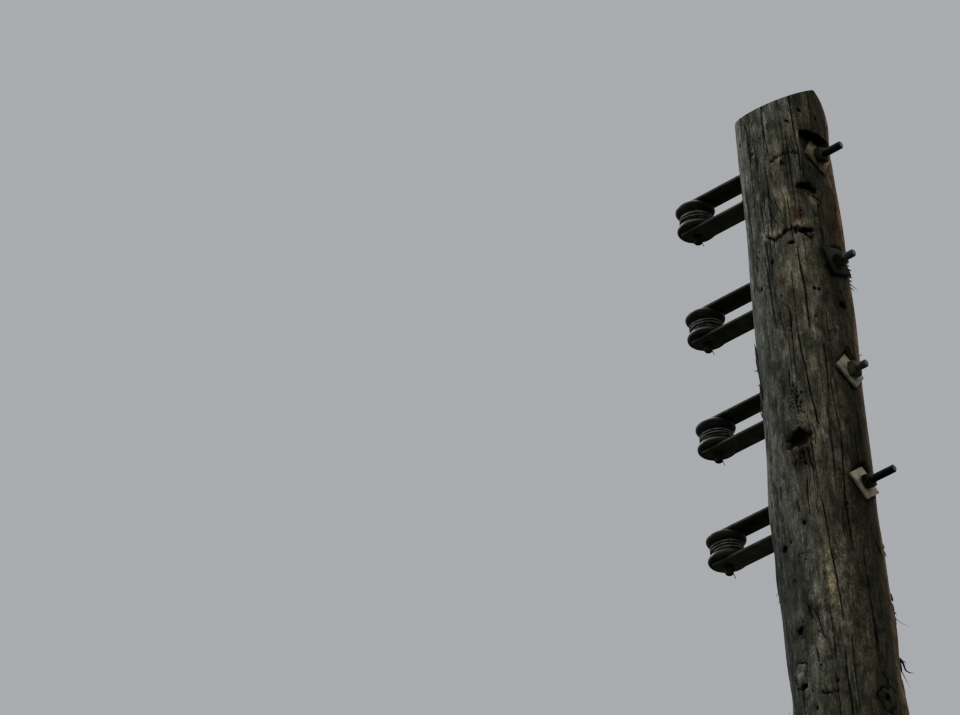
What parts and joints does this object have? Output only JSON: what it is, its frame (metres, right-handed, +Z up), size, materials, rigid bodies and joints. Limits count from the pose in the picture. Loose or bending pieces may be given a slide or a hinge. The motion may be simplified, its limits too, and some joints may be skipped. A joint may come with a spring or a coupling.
{
  "type": "wooden utility pole",
  "caption": "Round tapered wooden line pole with a sawn roofed top and a vertical row of bent-strap brackets, each holding a spool insulator on a pin, through-bolted with square washers.",
  "frame": {"origin": "centre of the pole's foot, at ground level", "axes": "+Z up the pole, +X towards the nuts, -X towards the brackets, the line runs along Y"},
  "size_m": [0.4466, 0.2818, 8.7],
  "materials": {
    "weathered_wood": "weathered, checked, grey",
    "galvanised_strap": "dull weathered zinc",
    "porcelain": "dark glazed",
    "tie_wire": "oxidised",
    "galvanised_fastener": "dull weathered zinc",
    "dark_bolt": "dark, slightly rusty",
    "galvanised_washer": "pale zinc with lichen"
  },
  "bodies": {
    "root": {"pole": "weathered_wood", "bracket_strap_1": "galvanised_strap", "spool_insulator_1": "porcelain", "tie_wire_1": "tie_wire", "spool_pin_1": "galvanised_fastener", "split_pin_1": "galvanised_fastener", "through_bolt_1": "dark_bolt", "square_washer_1": "galvanised_washer", "square_nut_1": "galvanised_fastener", "bracket_strap_2": "galvanised_strap", "spool_insulator_2": "porcelain", "tie_wire_2": "tie_wire", "spool_pin_2": "galvanised_fastener", "split_pin_2": "galvanised_fastener", "through_bolt_2": "dark_bolt", "square_washer_2": "galvanised_washer", "square_nut_2": "galvanised_fastener", "bracket_strap_3": "galvanised_strap", "spool_insulator_3": "porcelain", "tie_wire_3": "tie_wire", "spool_pin_3": "galvanised_fastener", "split_pin_3": "galvanised_fastener", "through_bolt_3": "dark_bolt", "square_washer_3": "galvanised_washer", "square_nut_3": "galvanised_fastener", "bracket_strap_4": "galvanised_strap", "spool_insulator_4": "porcelain", "tie_wire_4": "tie_wire", "spool_pin_4": "galvanised_fastener", "split_pin_4": "galvanised_fastener", "through_bolt_4": "dark_bolt", "square_washer_4": "galvanised_washer", "square_nut_4": "galvanised_fastener"}
  },
  "joints": []
}
